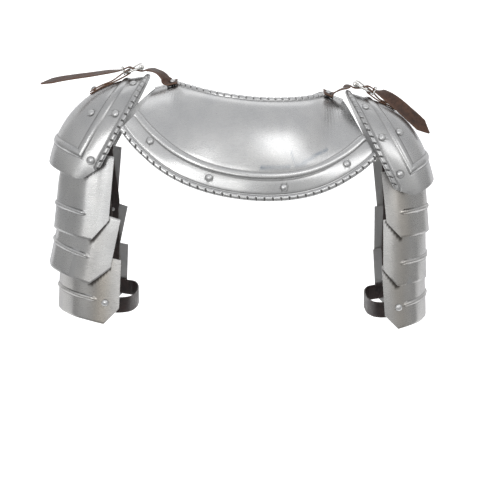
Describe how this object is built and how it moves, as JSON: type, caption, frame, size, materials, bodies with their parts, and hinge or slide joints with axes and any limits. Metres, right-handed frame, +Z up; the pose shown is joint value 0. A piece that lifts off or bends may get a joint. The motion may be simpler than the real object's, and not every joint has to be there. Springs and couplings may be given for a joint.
{
  "type": "steel gorget with pauldrons",
  "caption": "Plate gorget open at neck and base, with a laminated, roped-edge pauldron buckled to each side by leather straps.",
  "frame": {"origin": "middle of the neck opening at the height of the collar's two crests, where it sits on the wearer's neck and shoulders", "axes": "+Z up, +Y towards the wearer's front, +X towards the wearer's right"},
  "size_m": [0.5573, 0.25, 0.3683],
  "materials": {
    "plate_steel": "brushed steel, hammered and hand finished, with fine scratches",
    "rivet_steel": "domed heads, satin",
    "buckle_metal": "bright nickel plated, lightly worn",
    "strap_leather": "brown waxed leather with paler cut edges",
    "chape_leather": "lighter brown leather, folded double",
    "dark_leather": "near black brown leather"
  },
  "bodies": {
    "root": {"arm_band_left": "dark_leather", "arm_band_right": "dark_leather", "buckle_frame_left": "buckle_metal", "buckle_frame_right": "buckle_metal", "buckle_tongue_left": "buckle_metal", "buckle_tongue_right": "buckle_metal", "chape_left": "chape_leather", "chape_right": "chape_leather", "chape_rivet_left": "rivet_steel", "chape_rivet_right": "rivet_steel", "collar_back": "plate_steel", "collar_front": "plate_steel", "collar_rivet_1": "rivet_steel", "collar_rivet_2": "rivet_steel", "collar_rivet_3": "rivet_steel", "collar_rivet_4": "rivet_steel", "cop_leather_rivet_left_back": "rivet_steel", "cop_leather_rivet_left_front": "rivet_steel", "cop_leather_rivet_right_back": "rivet_steel", "cop_leather_rivet_right_front": "rivet_steel", "cop_left": "plate_steel", "cop_right": "plate_steel", "cop_rivet_left_1": "rivet_steel", "cop_rivet_left_2": "rivet_steel", "cop_rivet_left_3": "rivet_steel", "cop_rivet_left_4": "rivet_steel", "cop_rivet_left_5": "rivet_steel", "cop_rivet_right_1": "rivet_steel", "cop_rivet_right_2": "rivet_steel", "cop_rivet_right_3": "rivet_steel", "cop_rivet_right_4": "rivet_steel", "cop_rivet_right_5": "rivet_steel", "crest_rivet_left": "rivet_steel", "crest_rivet_right": "rivet_steel", "lame_leather_left_back": "dark_leather", "lame_leather_left_front": "dark_leather", "lame_leather_right_back": "dark_leather", "lame_leather_right_front": "dark_leather", "lame_left_1": "plate_steel", "lame_left_2": "plate_steel", "lame_left_3": "plate_steel", "lame_right_1": "plate_steel", "lame_right_2": "plate_steel", "lame_right_3": "plate_steel", "lame_rivet_left_back_1": "rivet_steel", "lame_rivet_left_back_2": "rivet_steel", "lame_rivet_left_back_3": "rivet_steel", "lame_rivet_left_front_1": "rivet_steel", "lame_rivet_left_front_2": "rivet_steel", "lame_rivet_left_front_3": "rivet_steel", "lame_rivet_right_back_1": "rivet_steel", "lame_rivet_right_back_2": "rivet_steel", "lame_rivet_right_back_3": "rivet_steel", "lame_rivet_right_front_1": "rivet_steel", "lame_rivet_right_front_2": "rivet_steel", "lame_rivet_right_front_3": "rivet_steel", "neck_strap_left": "strap_leather", "neck_strap_right": "strap_leather", "strap_keeper_left": "buckle_metal", "strap_keeper_right": "buckle_metal"}
  },
  "joints": []
}
